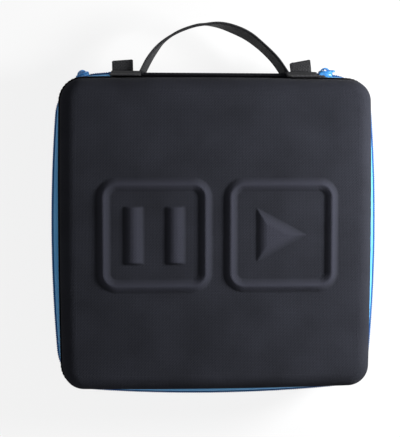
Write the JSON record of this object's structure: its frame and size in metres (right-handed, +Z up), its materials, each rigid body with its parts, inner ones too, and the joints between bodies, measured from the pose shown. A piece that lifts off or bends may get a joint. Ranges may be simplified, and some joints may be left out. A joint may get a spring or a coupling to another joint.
{
  "type": "midi controller case",
  "caption": "Zip-up moulded hard case for a square grid controller: two foam shells, fabric hinge, blue zip with sliders, webbing carry handle, foam tray and mesh lid pocket.",
  "frame": {"origin": "centre of the base shell's flat bottom, where the closed case rests", "axes": "+Z up out of the lid's face, +Y towards the fabric hinge and the carry handle, +X to the right seen from above with the hinge at the back"},
  "size_m": [0.316, 0.3587, 0.0915],
  "materials": {
    "shell_fabric": "woven polyester laminated on moulded EVA foam, charcoal black",
    "lining_fabric": "brushed tricot laminated inside the shells, black",
    "binding_tape": "ribbed polyester binding, black",
    "tray_foam": "closed-cell foam, charcoal",
    "zip_tape": "woven zip tape, bright blue",
    "zip_coil": "nylon coil, deep blue",
    "hinge_fabric": "woven polyester hinge cloth, black",
    "webbing": "woven polypropylene webbing, black",
    "pocket_mesh": "knitted mesh, black",
    "elastic": "braided elastic, black",
    "slider_enamel": "cast zinc with blue enamel"
  },
  "bodies": {
    "case_base": {"base_shell": "shell_fabric", "base_lining": "lining_fabric", "base_rim_binding": "binding_tape", "foam_tray": "tray_foam", "zip_tape_base": "zip_tape", "zip_coil_base": "zip_coil", "zip_stops": "zip_coil"},
    "hinge": {"hinge_spine": "hinge_fabric", "spine_lining": "lining_fabric", "anchor_patch_left": "webbing", "anchor_patch_right": "webbing", "tab_left": "webbing", "tab_right": "webbing", "handle_root_left": "webbing", "handle_root_right": "webbing"},
    "lid": {"lid_shell": "shell_fabric", "lid_lining": "lining_fabric", "lid_rim_binding": "binding_tape", "lid_foam_pad": "tray_foam", "pocket_frame": "binding_tape", "mesh_pocket": "pocket_mesh", "pocket_elastic": "elastic", "zip_tape_lid": "zip_tape", "zip_coil_lid": "zip_coil"},
    "handle": {"handle_webbing": "webbing"},
    "left_slider": {"slider_left": "slider_enamel"},
    "right_slider": {"slider_right": "slider_enamel"},
    "left_pull": {"pull_left": "slider_enamel"},
    "right_pull": {"pull_right": "slider_enamel"}
  },
  "joints": [
    {"name": "spine_fold", "type": "hinge", "parent": "case_base", "child": "hinge", "pos_m": [0, 0.157, 0.034], "axis": [-1, 0, 0], "range_deg": [0, 50]},
    {"name": "lid_open", "type": "hinge", "parent": "hinge", "child": "lid", "pos_m": [0, 0.157, 0.054], "axis": [-1, 0, 0], "range_deg": [0, 50]},
    {"name": "handle_swing", "type": "hinge", "parent": "hinge", "child": "handle", "pos_m": [0, 0.1575, 0.044], "axis": [1, 0, 0], "range_deg": [-35, 35]},
    {"name": "left_slider_run", "type": "hinge", "parent": "case_base", "child": "left_slider", "pos_m": [-0.11018, 0.11018, 0.044], "axis": [0, 0, 1], "range_deg": [0, 20]},
    {"name": "right_slider_run", "type": "slide", "parent": "case_base", "child": "right_slider", "axis": [0.9973, -0.0739, 0], "range_m": [0, 0.0045]},
    {"name": "left_pull_swing", "type": "hinge", "parent": "left_slider", "child": "left_pull", "pos_m": [-0.12813, 0.15459, 0.044], "axis": [0.9272, 0.3746, 0], "range_deg": [0, 100]},
    {"name": "right_pull_swing", "type": "hinge", "parent": "right_slider", "child": "right_pull", "pos_m": [0.10764, 0.15842, 0.044], "axis": [0, 0, 1], "range_deg": [0, 110]}
  ],
  "couplings": [
    {"joint": "spine_fold", "follows": "lid_open", "ratio": 1}
  ]
}
